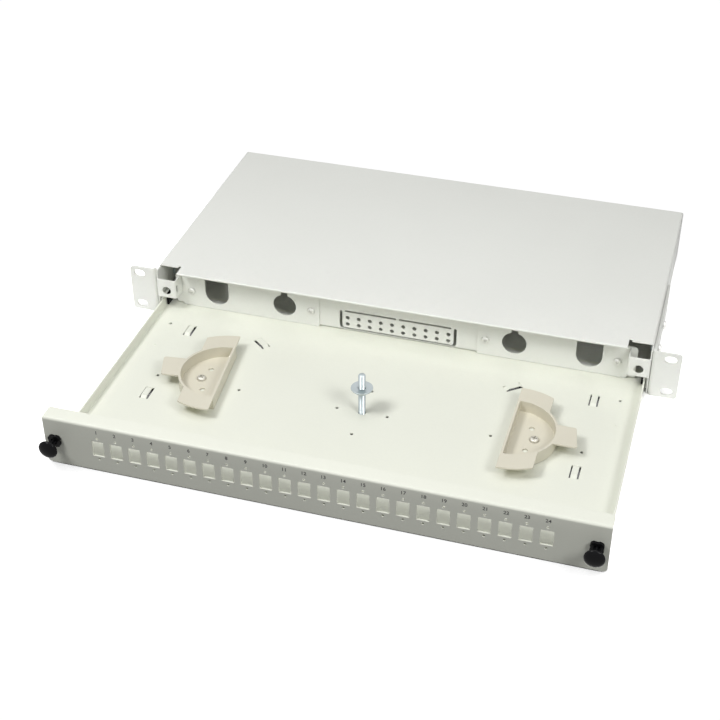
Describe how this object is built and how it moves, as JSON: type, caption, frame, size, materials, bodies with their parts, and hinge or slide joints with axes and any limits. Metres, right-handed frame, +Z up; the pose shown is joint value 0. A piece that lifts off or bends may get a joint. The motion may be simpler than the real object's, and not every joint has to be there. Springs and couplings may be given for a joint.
{
  "type": "fibre patch panel",
  "caption": "One-unit 19-inch fibre patch panel: a sliding drawer with a ported front panel, fibre guides, a threaded centre stud and push-pull latches, in an open-backed steel housing.",
  "frame": {"origin": "on the rack face of the ears, at mid width, level with the underside of the housing", "axes": "+X to the right seen from the front, +Y to the back, +Z up; the drawer is fully out"},
  "size_m": [0.4826, 0.464, 0.0437],
  "materials": {
    "powder_coat": "satin light grey powder coat",
    "zinc_plate": "bright zinc plate",
    "black_nylon": "glossy moulded nylon",
    "beige_plastic": "satin moulded plastic"
  },
  "bodies": {
    "housing": {"housing_shell": "powder_coat", "base_plate": "powder_coat", "rack_ear_left": "powder_coat", "rack_ear_right": "powder_coat", "ear_screw_left_1": "zinc_plate", "ear_screw_left_2": "zinc_plate", "ear_screw_right_1": "zinc_plate", "ear_screw_right_2": "zinc_plate", "ear_nut_left_1": "zinc_plate", "ear_nut_left_2": "zinc_plate", "ear_nut_right_1": "zinc_plate", "ear_nut_right_2": "zinc_plate"},
    "drawer": {"drawer_tray": "powder_coat", "front_panel": "powder_coat", "drawer_rear_wall": "powder_coat", "cable_entry_plate_left": "powder_coat", "cable_entry_plate_right": "powder_coat", "entry_plate_screw_left_1": "zinc_plate", "entry_plate_screw_left_2": "zinc_plate", "entry_plate_screw_right_1": "zinc_plate", "entry_plate_screw_right_2": "zinc_plate", "slide_shoe_left": "black_nylon", "slide_shoe_right": "black_nylon", "fibre_guide_left": "beige_plastic", "fibre_guide_right": "beige_plastic", "guide_screw_left": "zinc_plate", "guide_screw_right": "zinc_plate", "centre_stud": "zinc_plate", "latch_grommet_left": "black_nylon", "latch_grommet_right": "black_nylon"},
    "latch_plunger_left": {"latch_plunger_left": "black_nylon"},
    "latch_plunger_right": {"latch_plunger_right": "black_nylon"},
    "stud_washer": {"stud_washer": "zinc_plate"},
    "stud_nut": {"stud_nut": "zinc_plate"}
  },
  "joints": [
    {"name": "drawer_slide", "type": "slide", "parent": "housing", "child": "drawer", "axis": [0, 1, 0], "range_m": [0, 0.202]},
    {"name": "latch_push_left", "type": "slide", "parent": "drawer", "child": "latch_plunger_left", "axis": [0, 1, 0], "range_m": [0, 0.0084]},
    {"name": "latch_push_right", "type": "slide", "parent": "drawer", "child": "latch_plunger_right", "axis": [0, 1, 0], "range_m": [0, 0.0084]},
    {"name": "washer_height", "type": "slide", "parent": "drawer", "child": "stud_washer", "axis": [0, 0, 1], "range_m": [-0.02, 0.0115]},
    {"name": "nut_turn", "type": "hinge", "parent": "stud_washer", "child": "stud_nut", "pos_m": [0, -0.0925, 0.0249], "axis": [0, 0, 1], "range_deg": [-7201, 4141]}
  ],
  "couplings": [
    {"joint": "nut_turn", "follows": "washer_height", "rad_per_m": 6283.2}
  ]
}
